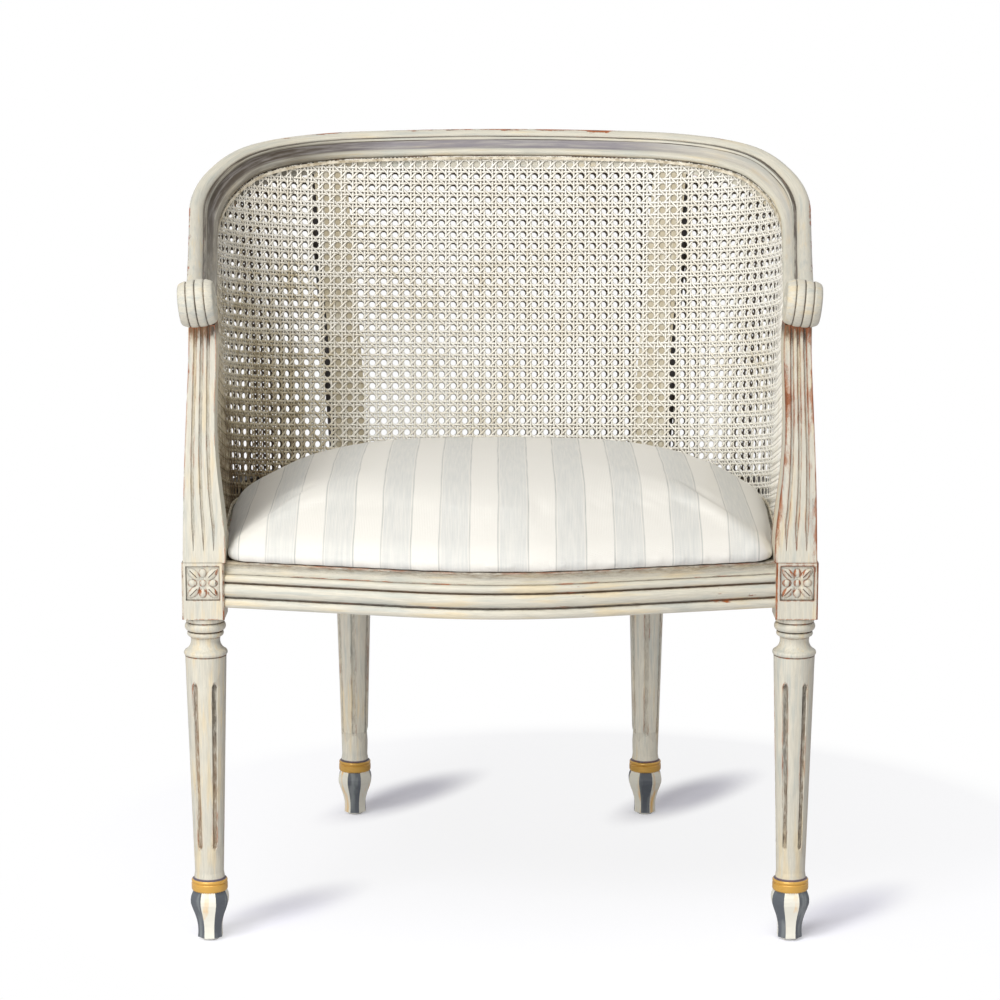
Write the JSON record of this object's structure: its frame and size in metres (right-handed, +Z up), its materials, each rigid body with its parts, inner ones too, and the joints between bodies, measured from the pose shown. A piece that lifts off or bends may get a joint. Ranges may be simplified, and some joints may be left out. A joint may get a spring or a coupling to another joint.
{
  "type": "accent chair",
  "caption": "Barrel-back accent armchair: turned, fluted wooden legs, reeded posts and scrolled arms, double-caned back and sides, and a crowned upholstered seat.",
  "frame": {"origin": "on the floor under the middle of the chair, halfway between its sides and between its front and back", "axes": "+Z up, +Y towards the back of the chair, +X to the right of someone who faces the chair from the front"},
  "size_m": [0.6579, 0.6153, 0.7708],
  "materials": {
    "painted_wood": "distressed ivory paint",
    "bare_wood": "unfinished beech",
    "cane": "natural woven cane",
    "cane_spline": "reed spline",
    "steel": "plain",
    "jute": "woven jute",
    "hessian": "hessian",
    "padding": "wadded foam",
    "seat_fabric": "woven ticking stripe",
    "dust_cloth": "non-woven",
    "glide": "nylon"
  },
  "bodies": {
    "root": {"arm_post_dowels": "bare_wood", "arm_rail_left": "painted_wood", "arm_rail_right": "painted_wood", "cane_sill_left": "bare_wood", "cane_sill_rear": "bare_wood", "cane_sill_right": "bare_wood", "corner_blocks": "bare_wood", "crest_dowels": "bare_wood", "crest_rail": "painted_wood", "dust_cover": "dust_cloth", "front_glide_left": "glide", "front_glide_right": "glide", "front_leg_left": "painted_wood", "front_leg_right": "painted_wood", "front_seat_rail": "painted_wood", "inner_cane": "cane", "inner_cane_splines": "cane_spline", "outer_cane": "cane", "outer_cane_splines": "cane_spline", "rail_dowels": "bare_wood", "rear_glide_left": "glide", "rear_glide_right": "glide", "rear_leg_left": "painted_wood", "rear_leg_right": "painted_wood", "rear_seat_rail": "painted_wood", "seat_cover": "seat_fabric", "seat_deck": "hessian", "seat_foam": "padding", "seat_frame_front": "bare_wood", "seat_frame_left": "bare_wood", "seat_frame_rear": "bare_wood", "seat_frame_right": "bare_wood", "seat_screws": "steel", "seat_webbing": "jute", "side_seat_rail_left": "painted_wood", "side_seat_rail_right": "painted_wood"}
  },
  "joints": []
}
